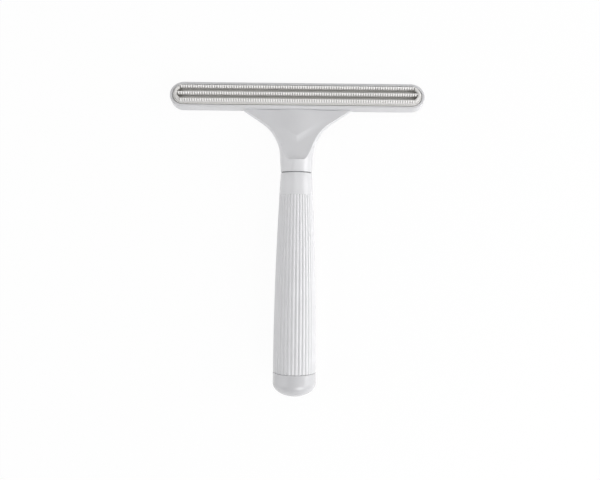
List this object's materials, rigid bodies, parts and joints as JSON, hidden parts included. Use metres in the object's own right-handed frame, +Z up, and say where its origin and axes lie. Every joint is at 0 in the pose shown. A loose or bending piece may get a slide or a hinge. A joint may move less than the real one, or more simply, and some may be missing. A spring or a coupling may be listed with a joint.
{
  "type": "clothes brush",
  "caption": "Clothes brush: a wide, low head with a rubber pad of toothed ridges, on a flared neck that screws into a round fluted grip closed by a domed cap.",
  "frame": {"origin": "under the middle of the bounding box, on the surface that the brush lies on, teeth up", "axes": "+Y along the grip's axis towards the head, +X across the head, +Z up, the way the teeth face"},
  "size_m": [0.1754, 0.2146, 0.0292],
  "materials": {
    "white_plastic": "gloss moulded",
    "pad_rubber": "satin moulded",
    "seal_rubber": "matte",
    "screw_steel": "zinc plated"
  },
  "bodies": {
    "head": {"head_frame": "white_plastic", "pad_carrier": "white_plastic", "carrier_screws": "screw_steel", "brush_pad": "pad_rubber", "flared_neck": "white_plastic"},
    "washer": {"seal_washer": "seal_rubber"},
    "grip": {"fluted_grip": "white_plastic", "end_cap": "white_plastic"}
  },
  "joints": [
    {"name": "grip_travel", "type": "slide", "parent": "head", "child": "washer", "axis": [0, -1, 0], "range_m": [0, 0.01]},
    {"name": "grip_turn", "type": "hinge", "parent": "washer", "child": "grip", "pos_m": [0, 0.04444, 0.0146], "axis": [0, -1, 0], "range_deg": [0, 900]}
  ],
  "couplings": [
    {"joint": "grip_travel", "follows": "grip_turn", "m_per_rad": 0.0006366}
  ]
}
